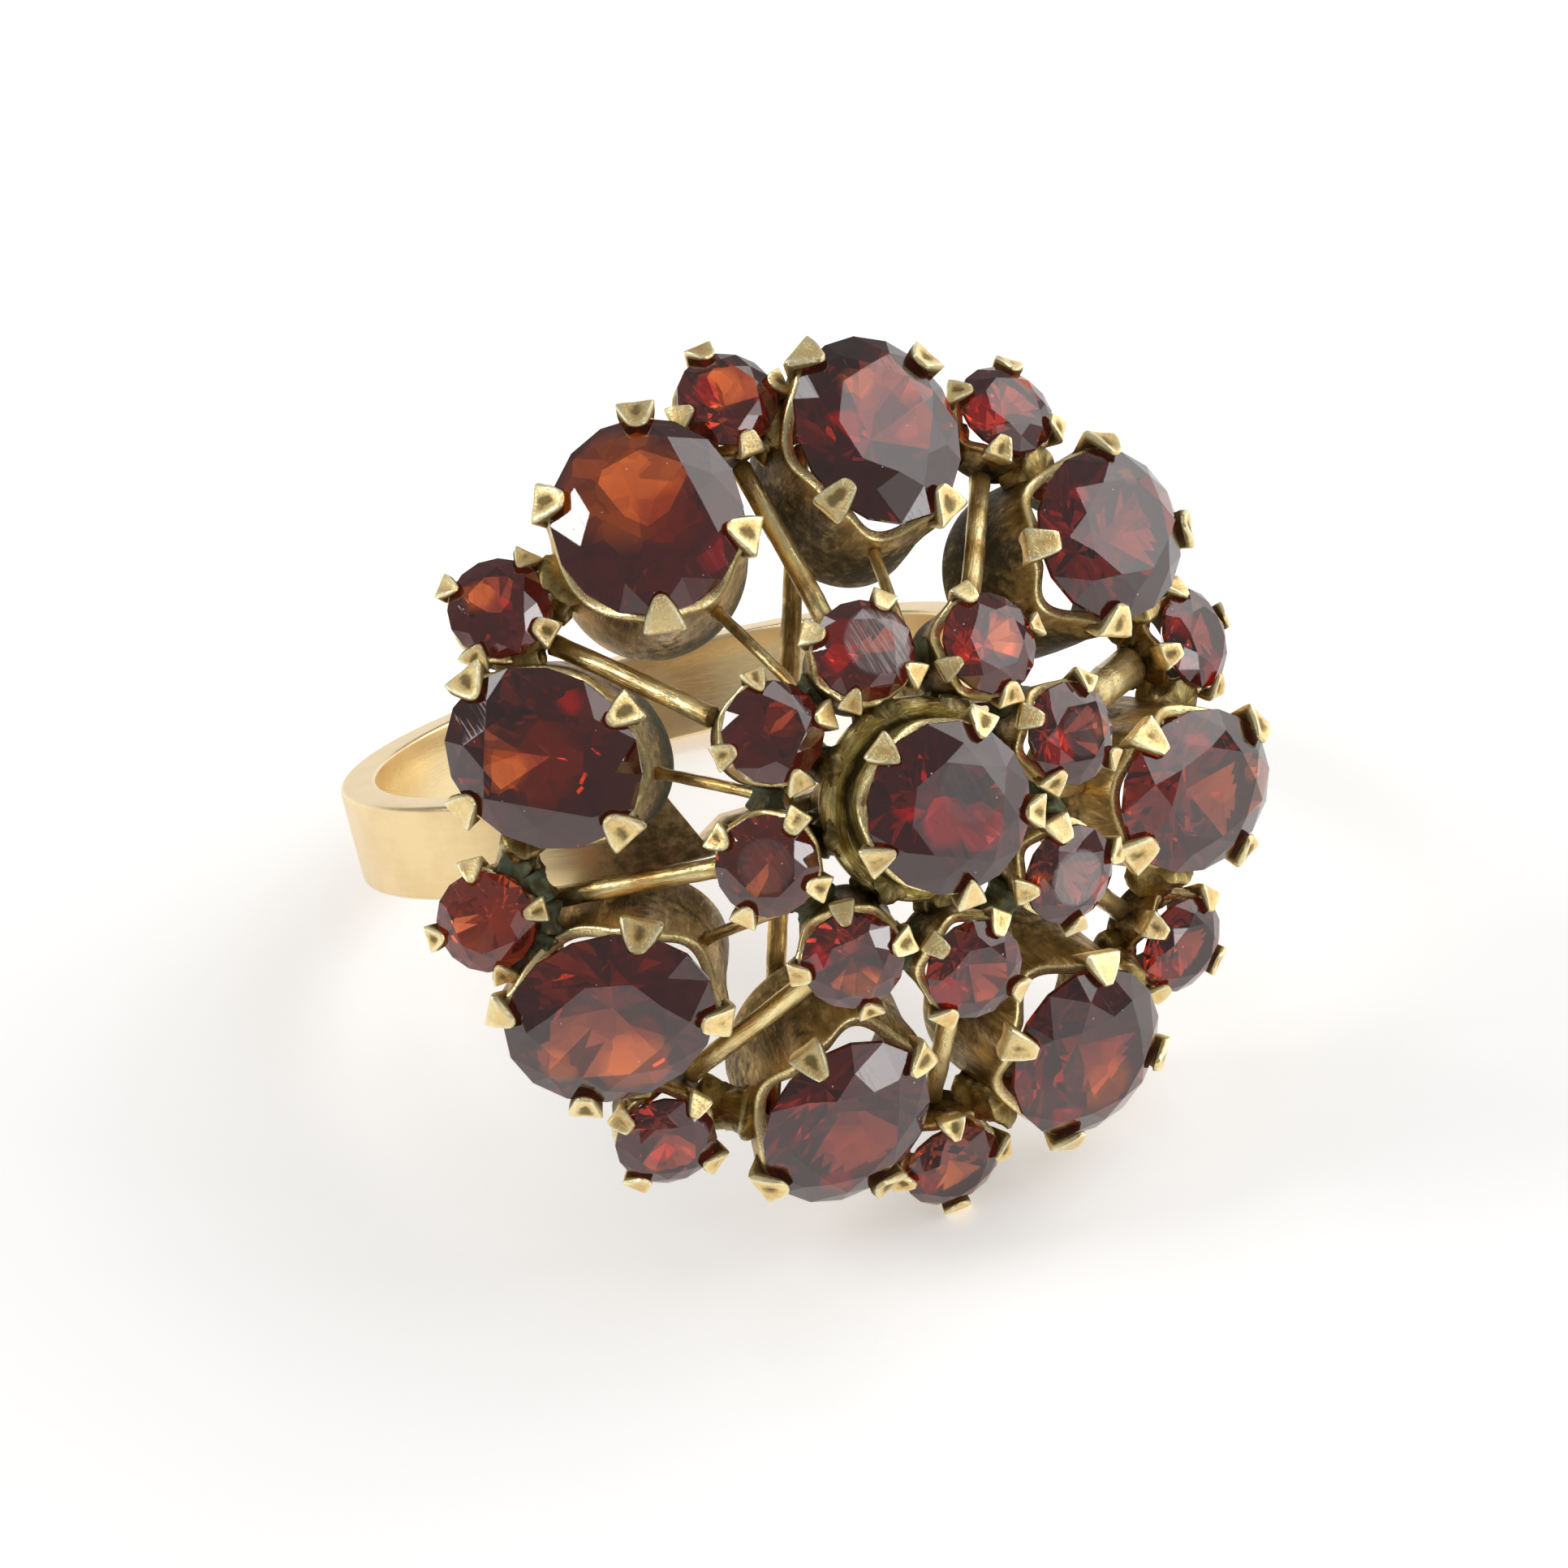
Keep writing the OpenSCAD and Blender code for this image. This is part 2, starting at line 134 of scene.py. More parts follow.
class Skin:
    # Points, faces and marks of wear and painted light of one piece while it is made.
    # A mark holds how bright the edge is rubbed, how much grime and verdigris lie there, and in
    # places painted shade and highlight.
    # A run is the same point in a straightened frame, so that streaks follow the way
    # the metal was worked.
    def __init__(self):
        self.points, self.faces, self.marks, self.runs = [], [], [], []

    def loft(self, rings, marks, runs, joined=False):
        # skins a row of loops, joined into a hoop or closed at both ends
        first, count = len(self.points), len(rings[0])
        for ring, ringMarks, ringRuns in zip(rings, marks, runs):
            self.points += ring
            self.marks += ringMarks
            self.runs += ringRuns
        last = len(rings) if joined else len(rings) - 1
        for k in range(last):
            low, high = first + k * count, first + (k + 1) % len(rings) * count
            for j in range(count):
                nextJ = (j + 1) % count
                self.faces.append((low + j, low + nextJ, high + nextJ, high + j))
        if not joined:
            top = first + (len(rings) - 1) * count
            self.faces.append(tuple(range(first + count - 1, first - 1, -1)))
            self.faces.append(tuple(range(top, top + count)))

    def piece(self, name, finish, slotName, sharpAngle=50):
        mesh = bpy.data.meshes.new(name)
        mesh.from_pydata([ringToFloor @ p for p in self.points], [], self.faces)
        mesh.validate()
        worn = mesh.attributes.new("worn", "FLOAT_COLOR", "POINT")
        worn.data.foreach_set("color", [c for mark in self.marks for c in (*mark, 1)])
        run = mesh.attributes.new("run", "FLOAT_VECTOR", "POINT")
        run.data.foreach_set("vector", [c for place in self.runs for c in place])
        mesh.shade_smooth()
        mesh.set_sharp_from_angle(angle=math.radians(sharpAngle))
        mesh.materials.append(finish)
        made = bpy.data.objects.new(name, mesh)
        bpy.context.collection.objects.link(made)
        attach(made, "root")
        return made


class Thread:
    # one socket of a material: masks add Math nodes, colours and vectors go through Vector Math
    def __init__(self, tree, socket):
        self.tree, self.socket = tree, socket

    def node(self, kind, settings=None, sockets=None, output=0):
        made = self.tree.nodes.new("ShaderNode" + kind)
        for name, value in (settings or {}).items():
            setattr(made, name, value)
        for name, value in (sockets or {}).items():
            socket = made.inputs[name]
            if isinstance(value, Thread):
                self.tree.links.new(value.socket, socket)
            elif socket.type == "RGBA" and len(value) == 3:
                socket.default_value = (*value, 1)
            else:
                socket.default_value = value
        return Thread(self.tree, made.outputs[output] if made.outputs else None)

    def reckon(self, operation, first, second):
        both = (first, second)
        sockets = [v.socket.type for v in both if isinstance(v, Thread)]
        vector = "RGBA" in sockets or "VECTOR" in sockets or any(isinstance(v, tuple) for v in both)
        if vector:
            both = [(v, v, v) if isinstance(v, (int, float)) else v for v in both]
        kind = "VectorMath" if vector else "Math"
        return self.node(kind, {"operation": operation}, {0: both[0], 1: both[1]})

    def __add__(self, other):
        return self.reckon("ADD", self, other)

    def __radd__(self, other):
        return self.reckon("ADD", other, self)

    def __sub__(self, other):
        return self.reckon("SUBTRACT", self, other)

    def __rsub__(self, other):
        return self.reckon("SUBTRACT", other, self)

    def __mul__(self, other):
        return self.reckon("MULTIPLY", self, other)

    def __rmul__(self, other):
        return self.reckon("MULTIPLY", other, self)

    def within(self, low, high):
        # fades from 0 at low to 1 at high, which may be the smaller one
        return self.node(
            "MapRange", {"interpolation_type": "SMOOTHSTEP"},
            {"Value": self, "From Min": low, "From Max": high},
        )

    def mix(self, dark, light):
        # this mask fades from one colour to the other
        return self.node("Mix", {"data_type": "RGBA"}, {"Factor": self, 6: dark, 7: light}, 2)


def newFinish(name):
    material = bpy.data.materials.new(name)
    material.use_nodes = True
    tree = material.node_tree
    tree.nodes.clear()
    return material, Thread(tree, None)


def noiseOf(thread, place, scale, detail, rough=0.55, twist=0.0):
    return thread.node("TexNoise", None, {
        "Vector": place, "Scale": scale, "Detail": detail, "Roughness": rough, "Distortion": twist,
    })


# the grain of all golds, per millimetre: scale, detail, roughness, twist
goldGrain = {
    "cloud": (0.55, 5.0), "fine": (3.1, 6.0, 0.65),
    "streak": (2.4, 6.0, 0.72, 0.5), "scratch": (5.0, 3.0, 0.6),
}
# where each mask fades in
goldFades = {
    "tone": (0.36, 0.62), "streak": (0.5, 0.66), "rubbedAndHighlight": (0.1, 0.75), "dirtAndShade": (0.28, 0.78),
    "crust": (0.12, 0.5), "salts": (0.35, 0.65), "scratch": (0.5, 0.62),
}
goldShine = {"bumpHeight": 0.00002, "specular": 0.2}


def goldFinish(name, look):
    # clean metal, then paler streaks, rubbed edges, grime in the hollows, with painted shade and
    # highlight where the marks carry them, and green salts on top
    material, thread = newFinish(name)
    place = thread.node("TexCoord", None, None, 3) * metre
    run = thread.node("Attribute", {"attribute_name": "run"}, None, 1)
    worn = thread.node("Attribute", {"attribute_name": "worn"})
    bright, grimeAndShade, green = [
        thread.node("SeparateColor", None, {"Color": worn}, channel) for channel in range(3)
    ]
    cloud = noiseOf(thread, place, *goldGrain["cloud"])
    fine = noiseOf(thread, place, *goldGrain["fine"])
    streak = noiseOf(thread, run * look["streakAlong"], *goldGrain["streak"])
    scratch = noiseOf(thread, run * look["scratchAlong"], *goldGrain["scratch"])

    body = (cloud * 0.75 + streak * 0.35 - 0.05).within(*goldFades["tone"])
    pale = streak.within(*goldFades["streak"]) * look["streak"]
    rubbedAndHighlight = (bright * 1.1 + fine * 0.6 - 0.35).within(*goldFades["rubbedAndHighlight"])
    soiledAndShaded = grimeAndShade * 1.3 + cloud * 0.65 + fine * 0.85 + streak * 0.35
    dirtAndShade = (soiledAndShaded - look["clean"] - 0.225).within(*goldFades["dirtAndShade"])
    crust = (green * 1.25 + fine * 0.45 + streak * 0.35 - 0.67).within(*goldFades["crust"])
    verdigris = fine.within(*goldFades["salts"]).mix(*look["salts"])

    tone = pale.mix(body.mix(look["deep"], look["main"]), look["pale"])
    tone = (dirtAndShade * look["dirty"]).mix(rubbedAndHighlight.mix(tone, look["rubbedAndHighlight"]), look["grimeAndShade"])
    tone = (crust * look["crust"]).mix(tone, verdigris)
    rough = look["rough"] + streak * 0.16 + dirtAndShade * 0.25 + crust * 0.4 - bright * look["polish"]
    scratched = scratch.within(*goldFades["scratch"]) * look["relief"] * 0.7
    height = streak * look["relief"] + scratched + fine * look["pits"]
    shader = thread.node("BsdfPrincipled", None, {
        "Base Color": tone,
        "Metallic": look["metal"] - crust * 0.75 - dirtAndShade * look["dirtDull"],
        "Roughness": rough,
        "Specular IOR Level": goldShine["specular"],
        "Normal": thread.node("Bump", None, {
            "Strength": look["bump"], "Distance": goldShine["bumpHeight"], "Height": height,
        }),
    })
    thread.node("OutputMaterial", None, {"Surface": shader})
    return material


# Each gold: its colours, then how clean, dirty (with painted shade), streaked and green it is, how
# rough and how dull
bandLook = {
    "deep": (0.84, 0.62, 0.31), "main": (0.90, 0.69, 0.37), "pale": (0.94, 0.75, 0.42),
    "rubbedAndHighlight": (0.96, 0.81, 0.49), "grimeAndShade": (0.11, 0.075, 0.022), "clean": 1.05, "dirty": 0.88,
    "streakAlong": (1.4, 1.4, 0.12), "scratchAlong": (3.0, 3.0, 0.3), "streak": 0.14,
    "crust": 0.2, "rough": 0.25, "polish": 0.14, "relief": 0.18, "pits": 0.2, "bump": 0.28,
    "metal": 0.93, "dirtDull": 0.1,
    "salts": ((0.010, 0.014, 0.009), (0.085, 0.15, 0.11)),
}
headLook = {
    "deep": (0.20, 0.125, 0.034), "main": (0.70, 0.445, 0.15), "pale": (1.0, 0.75, 0.36),
    "rubbedAndHighlight": (1.0, 0.83, 0.42), "grimeAndShade": (0.042, 0.032, 0.009), "clean": 0.76, "dirty": 0.94,
    "streakAlong": (1.3, 1.3, 0.3), "scratchAlong": (3.0, 3.0, 0.4), "streak": 0.6,
    "crust": 0.8, "rough": 0.32, "polish": 0.15, "relief": 0.6, "pits": 0.7, "bump": 0.8,
    "metal": 0.94, "dirtDull": 0.12,
    "salts": ((0.016, 0.018, 0.010), (0.13, 0.17, 0.12)),
}
middleLook = dict(
    headLook, deep=(0.24, 0.17, 0.032), main=(0.72, 0.57, 0.16), pale=(1.0, 0.88, 0.42),
    streakAlong=(3.0, 3.0, 0.5), scratchAlong=(5.0, 5.0, 0.6), streak=1.0, clean=0.84,
    rough=0.24, relief=0.9,
)
solderLook = dict(
    headLook, deep=(0.16, 0.12, 0.04), main=(0.60, 0.44, 0.15), grimeAndShade=(0.045, 0.036, 0.015),
    salts=((0.022, 0.024, 0.014), (0.13, 0.20, 0.14)), streak=0.5, clean=0.95, crust=0.75,
    rough=0.26, relief=0.3, pits=1.0,
)
clawLook = {
    "deep": (0.82, 0.55, 0.22), "main": (1.0, 0.77, 0.35), "pale": (1.0, 0.85, 0.45),
    "rubbedAndHighlight": (1.0, 0.91, 0.56), "grimeAndShade": (0.13, 0.085, 0.024), "clean": 0.9, "dirty": 0.82,
    "streakAlong": (1.1, 1.1, 0.7), "scratchAlong": (2.5, 2.5, 0.6), "streak": 0.5,
    "crust": 0.4, "rough": 0.34, "polish": 0.14, "relief": 0.6, "pits": 0.6, "bump": 0.8,
    "metal": 0.84, "dirtDull": 0.1,
    "salts": ((0.012, 0.014, 0.008), (0.075, 0.12, 0.085)),
}
bandGold = goldFinish("bandGold", bandLook)
headGold = goldFinish("agedHeadGold", headLook)
middleGold = goldFinish("middleBrass", middleLook)
clawGold = goldFinish("clawGold", clawLook)
solderGold = goldFinish("oldSolder", solderLook)
print("golds mixed")

# The band: a swept section whose upper edge is cut down to a strap below the head
band = {
    "inside": 9.2, "thick": 1.1, "width": 2.9, "strap": 1.0, "neck": 0.45,
    "gapLong": 4.1, "gapShort": 3.05, "strapHalf": 2.2, "corner": 0.16, "innerCorner": 0.7,
    "cutDegrees": 28, "cutColumns": 220, "hoopColumns": 340, "cutCosine": 0.8,
    "uprightFrom": 32, "uprightOver": 6, "waviness": 0.012,
}
# soot and painted shade under the head: where they start and fade in, how dark outside and inside,
# how green
bandSootAndShade = {"from": 0.7, "over": 0.16, "outside": 0.62, "inside": 0.35, "green": 0.2}


def bandTop(x):
    # the height of the upper edge, low where the band is cut down to the strap
    low, high = -band["width"] / 2, band["width"] / 2
    stops = [
        (0, low + band["strap"]), (band["strapHalf"], low + band["strap"]),
        (band["gapShort"], low + band["neck"]), (band["gapLong"], high),
    ]
    return along(stops, abs(x))[0]


def bandColumns():
    # angles round the hole from the head, closer together at the cut below the head
    reach, near, far = math.radians(band["cutDegrees"]), band["cutColumns"], band["hoopColumns"]
    cut = [blendTo(-reach, reach, k / near) for k in range(near + 1)]
    return cut + [blendTo(reach, 2 * math.pi - reach, k / far) for k in range(1, far)]


def bandSection(high):
    # the section as (depth from the finger hole, y, bright, grime), with rounded corners
    low = -band["width"] / 2
    corner = min(band["corner"], (high - low) * 0.3)
    soft = corner * band["innerCorner"]
    points = []
    for centreR, centreY, start in (
        (band["thick"] - corner, low + corner, -90), (band["thick"] - corner, high - corner, 0),
        (soft, high - soft, 90), (soft, low + soft, 180),
    ):
        size = corner if centreR > band["thick"] / 2 else soft
        for turn in (0, 22.5, 45, 67.5, 90):
            t = math.radians(start + turn)
            rubbedAndHighlight = 0.5 * (1 - abs(turn - 45) / 60)
            points.append((centreR + size * math.cos(t), centreY + size * math.sin(t), rubbedAndHighlight, 0.1))
        if start == -90:  # up across the outside
            for share in (0.2, 0.4, 0.6, 0.8):
                y = blendTo(low + corner, high - corner, share)
                points.append((band["thick"], y, 0.15, 0.12))
        if start == 90:  # and down across the inside
            for share in (0.25, 0.5, 0.75):
                points.append((0, blendTo(high - soft, low + soft, share), 0.6, 0.0))
    return points


def buildBand():
    skin = Skin()
    rings, marks, runs = [], [], []
    middle = band["inside"] + band["thick"] / 2
    for angle in bandColumns():
        angle = angle if angle <= math.pi else angle - 2 * math.pi
        inCut = math.cos(angle) > band["cutCosine"]
        x = middle * math.sin(angle)
        # below the head the cut runs straight, and soot and painted shade darken it and dull its
        # rub
        upright = smooth((band["uprightFrom"] - math.degrees(abs(angle))) / band["uprightOver"])
        below = smooth((math.cos(angle) - bandSootAndShade["from"]) / bandSootAndShade["over"])
        ring, ringMarks, ringRuns = [], [], []
        for depth, y, bright, grimeAndShade in bandSection(bandTop(x) if inCut else band["width"] / 2):
            r = band["inside"] + depth
            turned = blendTo(angle, math.asin(max(-1, min(1, x / r))), upright) if inCut else angle
            if depth > 0.3:
                spot = Vector((r * math.sin(turned), y * 1.5, r * math.cos(turned)))
                r += band["waviness"] * noise.noise(spot * 0.6)
            ring.append(Vector((r * math.sin(turned), y, r * math.cos(turned))))
            # the inside grows paler and glossier towards the shank's bottom, partly a painted
            # highlight
            if depth == 0:
                bright *= 0.25 + 0.75 * smooth(-0.3 - 1.6 * math.cos(angle))
            sootAndShade = (bandSootAndShade["outside"] if depth > 0.2 else bandSootAndShade["inside"]) * below
            ringMarks.append((bright * (1 - 0.5 * below), grimeAndShade + sootAndShade, bandSootAndShade["green"] * below))
            ringRuns.append((depth, y, 2 * middle * math.cos(angle)))
        rings.append(ring)
        marks.append(ringMarks)
        runs.append(ringRuns)
    skin.loft(rings, marks, runs, joined=True)
    return skin.piece("fingerBand", bandGold, "gold", 40)


fingerBand = buildBand()
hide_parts("mounting")
print("band made")

# Collets. Claws are angles round the stone. A profile runs from the rim down the outside,
# under the foot and up the inside: (share of the depth, offset from the girdle, bright, grime)
collets = {
    "middle": {
        "claws": [53, 125, 197, 269, 341], "columns": 140,
        "depth": 3, "wall": 0.34, "dip": 0.6, "flare": 0.1,
        # here the bright rim, the dark concave waist and the bright bead are wear and patina,
        # partly painted highlight and painted shade
        "profile": [
            (0.0, -0.34, 0.2, 0.5), (0.0, -0.3, 0.9, 0.1), (0.0, -0.12, 1.0, 0.0),
            (0.01, -0.03, 1.0, 0.0), (0.04, 0.01, 0.5, 0.1), (0.1, 0.01, 0.2, 0.1),
            (0.2, -0.03, 0.15, 0.2), (0.32, -0.09, 0.1, 0.35), (0.44, -0.12, 0.0, 0.6),
            (0.54, -0.1, 0.0, 0.75), (0.61, -0.03, 0.0, 0.6), (0.66, 0.08, 0.15, 0.35),
            (0.7, 0.22, 0.3, 0.15), (0.75, 0.37, 0.55, 0.1), (0.82, 0.455, 0.5, 0.1),
            (0.89, 0.45, 0.3, 0.2), (0.95, 0.37, 0.1, 0.5), (0.99, 0.22, 0.0, 0.7),
            (1.0, 0.0, 0.0, 0.8), (1.0, -1.2, 0.0, 0.8), (0.84, -1.2, 0.0, 0.8),
            (0.84, -0.45, 0.0, 0.8), (0.5, -0.36, 0.0, 0.6), (0.2, -0.35, 0.1, 0.5),
        ],
    },
    "inner": {
        "claws": [48, 140, 220, 312], "columns": 112,
        "depth": 2.4, "wall": 0.28, "dip": 0.6, "flare": 0.2,
        "profile": [
            (0.0, -0.28, 0.2, 0.5), (0.0, -0.24, 0.8, 0.1), (0.0, -0.1, 1.0, 0.0),
            (0.015, -0.02, 1.0, 0.0), (0.05, 0.0, 0.5, 0.1), (0.15, -0.01, 0.1, 0.25),
            (0.35, -0.05, 0.0, 0.4), (0.6, -0.1, 0.0, 0.5), (0.85, -0.14, 0.0, 0.6),
            (0.97, -0.15, 0.3, 0.5), (1.0, -0.19, 0.4, 0.5), (1.0, -0.37, 0.3, 0.6),
            (0.97, -0.41, 0.2, 0.7), (0.6, -0.38, 0.0, 0.7), (0.2, -0.3, 0.0, 0.6),
        ],
    },
    "oval": {
        "claws": [38, 145, 215, 322], "columns": 140,
        "depth": 4.3, "wall": 0.34, "dip": 1.0, "flare": 0.36,
        "profile": [
            (0.0, -0.34, 0.2, 0.4), (0.0, -0.3, 0.9, 0.1), (0.0, -0.12, 1.0, 0.0),
            (0.01, -0.03, 1.0, 0.0), (0.03, 0.0, 0.5, 0.1), (0.1, 0.01, 0.15, 0.2),
            (0.25, 0.02, 0.05, 0.3), (0.4, 0.03, 0.0, 0.4), (0.6, 0.04, 0.0, 0.45),
            (0.8, 0.03, 0.05, 0.45), (0.96, 0.0, 0.25, 0.4), (1.0, -0.06, 0.5, 0.4),
            (1.0, -0.3, 0.4, 0.5), (0.97, -0.36, 0.3, 0.5), (0.7, -0.36, 0.0, 0.6),
            (0.4, -0.36, 0.0, 0.6), (0.15, -0.35, 0.0, 0.5),
        ],
    },
}
collets["outer"] = dict(collets["inner"], claws=[3, 93, 178, 268], depth=1.9)
colletSkin = {
    "rimTop": -0.14, "uneven": 0.03, "flareReach": 0.42, "flareDepth": 0.62,
    "besideClaw": 0.12, "clawGrime": 0.25, "footGreen": 0.2,
}
# the two upper walls are darker and browner than the rest and the eighth oval's wall lighter, and
# those on the left have gone green inward
colletToneShifts = {("oval", 1): 0.13, ("oval", 2): 0.16, ("oval", 8): -0.15}
colletGreens = {("oval", 7): 0.45, ("outer", 7): 0.4, ("oval", 8): 0.38}
# the right hand oval is hardly cut out on its inward side: angle there, half its span, share left
shallowDip = {("oval", 3): (180, 35, 0.3)}


def clawShare(claws, angle):
    # how far an angle is on its way from one claw to the next, and how many degrees these are apart
    for k, start in enumerate(claws):
        end = claws[k + 1] if k + 1 < len(claws) else claws[0] + 360
        if start <= angle < end:
            return (angle - start) / (end - start), end - start
    return clawShare(claws, angle + 360)


def buildCollet(skin, kind, row, seed):
    # a wall round one stone, which sags between the claws and flares out to them
    look = collets[kind]
    seat = seatMatrix(row, drops[kind])
    rings, marks, runs = [], [], []
    toneShift, green = colletToneShifts.get((kind, seed), 0), colletGreens.get((kind, seed), 0)
    inward, span, left = shallowDip.get((kind, seed), (0, 0, 1))
    for k in range(look["columns"]):
        angle = k * 360 / look["columns"]
        share, apart = clawShare(look["claws"], angle)
        sag = look["dip"] * math.sin(math.pi * share) ** 2
        if abs(angle - inward) < span:
            sag *= left
        c, s = math.cos(math.radians(angle)), math.sin(math.radians(angle))
        radius = girdleRadius(row, angle)
        toClaw = min(share, 1 - share) * apart * math.pi / 180 * radius
        flare = look["flare"] * math.exp(-(toClaw / colletSkin["flareReach"]) ** 2)
        beside = max(0, 1 - min(share, 1 - share) / colletSkin["besideClaw"])
        ring, ringMarks, ringRuns = [], [], []
        for depth, offset, bright, grimeAndShade in look["profile"]:
            z = blendTo(colletSkin["rimTop"] - sag, -look["depth"], depth)
            r = radius + offset
            if offset > -look["wall"]:
                spot = Vector((c * 1.3, s * 1.3, z * 0.5 + seed * 7.3))
                r += colletSkin["uneven"] * noise.noise(spot) * smooth(depth / 0.3)
            r += flare * (1 - smooth(depth / colletSkin["flareDepth"]))
            ring.append(seat @ Vector((r * c, r * s, z)))
            ringMarks.append((
                bright * (0.75 + 0.25 * noise.noise(Vector((c, s, seed)) * 2)),
                grimeAndShade + colletSkin["clawGrime"] * beside * (1 - smooth(depth / 0.6)) + toneShift,
                colletSkin["footGreen"] * smooth((depth - 0.3) / 0.6) + green * max(0, -c),
            ))
            if kind == "middle":
                ringRuns.append((r + 0.2 * s, z, 3 * c))
            else:
                ringRuns.append((r * c + 9 * seed, r * s, z))
        rings.append(ring)
        marks.append(ringMarks)
        runs.append(ringRuns)
    skin.loft(rings, marks, runs, joined=True)


# Claws: reach over the stone, half width, half width at the tip, thickness
clawSizes = {
    "middle": (0.45, 0.45, 0.17, 0.38), "inner": (0.3, 0.4, 0.19, 0.3),
    "oval": (0.5, 0.56, 0.25, 0.42), "outer": (0.3, 0.42, 0.2, 0.3),
}
# how far one claw may differ from the next
clawChance = {
    "reach": (0.86, 1.16), "half": (0.86, 1.14), "tip": (0.6, 1.3),
    "hollow": (0.02, 0.05, 0.08, 0.1), "twist": (-0.06, 0.06), "turn": (-3, 3),
}
clawSeeds = {"middle": 3, "inner": 5, "oval": 8, "outer": 13}
clawWear = {"ragged": 0.05, "hollowGrime": 0.75, "rootGrime": 0.5, "rootGreen": 0.3}
crownSlope = math.radians(41.8)  # of the stones' kite facets
across = (-1, -0.94, -0.78, -0.5, 0, 0.5, 0.78, 0.94, 1)


def buildClaw(skin, kind, row, angle, chance):
    # grows out of the wall, bends over the girdle and lies on the stone with a hollowed back
    reach, half, tip, thick = clawSizes[kind]
    reach *= chance.uniform(*clawChance["reach"])
    half *= chance.uniform(*clawChance["half"])
    tip *= chance.uniform(*clawChance["tip"])
    hollow = chance.choice(clawChance["hollow"]) * half / 0.5
    twist = chance.uniform(*clawChance["twist"])
    radius = girdleRadius(row, angle)
    turn = math.radians(girdleNormal(row, angle) + chance.uniform(*clawChance["turn"]))
    c, s = math.cos(math.radians(angle)), math.sin(math.radians(angle))
    place = (
        seatMatrix(row, drops[kind])
        @ Matrix.Translation((radius * c, radius * s, 0))
        @ Matrix.Rotation(turn, 4, "Z")
    )
    wall = collets[kind]["wall"]
    gap = head["seatGap"]
    baseZ = head["girdleHalf"] + gap / math.cos(crownSlope)
    bendX = 2.2 * gap
    lowIn = Vector((bendX, baseZ - bendX * math.tan(crownSlope)))
    tipIn = Vector((-reach * math.cos(crownSlope), baseZ + reach * math.sin(crownSlope)))
    lowOut = Vector((bendX + thick, baseZ - 0.2 * thick))
    tipOut = tipIn + Vector((0.3 * thick, 0.35 * thick))
    # outer point, inner point, half width, hollow, bright: first up the wall to the bend
    stations = [
        (Vector((-0.15 * wall, -2.7 * thick)), Vector((-0.4 * wall, -2.4 * thick)),
            half * 0.7, 0, 0),
        (Vector((0.12, -1.75 * thick)), Vector((-0.3 * wall, -1.6 * thick)),
            half * 0.82, 0, 0.1),
        (lowOut + Vector((-0.2 * thick, -0.75 * thick)), Vector((-0.1 * wall, -0.95 * thick)),
            half * 0.93, 0.1, 0.3),
        (lowOut + Vector((-0.03 * thick, -0.28 * thick)), Vector((0.07, -0.4 * thick)),
            half, 0.3, 0.6),
        (lowOut + Vector((-0.02, 0.0)), lowIn + Vector((0, -0.02)), half * 1.02, 0.25, 0.95),
    ]
    # then over the stone, given as a share of the way and the hollow's depth there
    for share, cup in (
        (0.1, 0.35), (0.2, 0.8), (0.36, 1), (0.54, 1), (0.7, 0.8), (0.84, 0.4), (0.95, 0.1),
    ):
        crown = Vector((0.05, 0.07)) * thick * math.sin(math.pi * share)
        outer, inner = lowOut.lerp(tipOut, share) + crown, lowIn.lerp(tipIn, share)
        stations.append((outer, inner, blendTo(half, tip, share ** 1.3), cup, 0.9 - 0.2 * cup))
    # and a rounded tip: how the outer and the inner point move, and the width that is left
    for outerMove, innerMove, share in (
        ((-0.05, 0.01), (0.0, 0.012), 0.86), ((-0.1, -0.02), (-0.03, 0.045), 0.6),
        ((-0.125, -0.05), (-0.045, 0.07), 0.3),
    ):
        stations.append((tipOut + Vector(outerMove), tipIn + Vector(innerMove), tip * share, 0, 1))
    rings, marks, runs = [], [], []
    for k, (outer, inner, wide, cup, bright) in enumerate(stations):
        before, after = stations[max(0, k - 1)][0], stations[min(len(stations) - 1, k + 1)][0]
        run = (after - before).normalized()
        normal = Vector((run.y, -run.x))
        if normal.x < 0 and normal.y < 0:
            normal = -normal
        shift = twist * wide * k / len(stations)
        ring, ringMarks, ringRuns = [], [], []
        for u in across:
            edge = abs(u)
            lift = -hollow * cup * (1 - smooth(edge / 0.85))
            lift -= thick * (0.1 if edge == 1 else 0.025 if edge == 0.94 else 0)
            p = outer + normal * lift
            spot = Vector((k * 0.9, u * 2.5, angle + row[0]))
            ragged = clawWear["ragged"] * wide * noise.noise(spot) * edge
            ring.append(place @ Vector((p.x, u * wide + shift + ragged, p.y)))
            kept = 1 if edge > 0.9 else 0.6 if edge > 0.7 else 0.4 - 0.25 * cup * (hollow > 0.04)
            dirty = clawWear["hollowGrime"] * cup * (1 - edge) * min(1, hollow / 0.08)
            dirty += clawWear["rootGrime"] * (k < 2)
            ringMarks.append((bright * kept, 0.1 + dirty, clawWear["rootGreen"] * (k < 1)))
            ringRuns.append((p.x + 3 * hollow, u * wide, p.y))
        for u in (0.96, 0.5, -0.5, -0.96):  # the underside
            p = inner if abs(u) < 0.9 else inner.lerp(outer, 0.15)
            ring.append(place @ Vector((p.x, u * wide, p.y)))
            # the underside's grime is partly painted shade where the claw lies on the stone
            ringMarks.append((0.0, 1.0, 0.15))
            ringRuns.append((p.x, u * wide, p.y))
        rings.append(ring)
        marks.append(ringMarks)
        runs.append(ringRuns)
    skin.loft(rings, marks, runs)


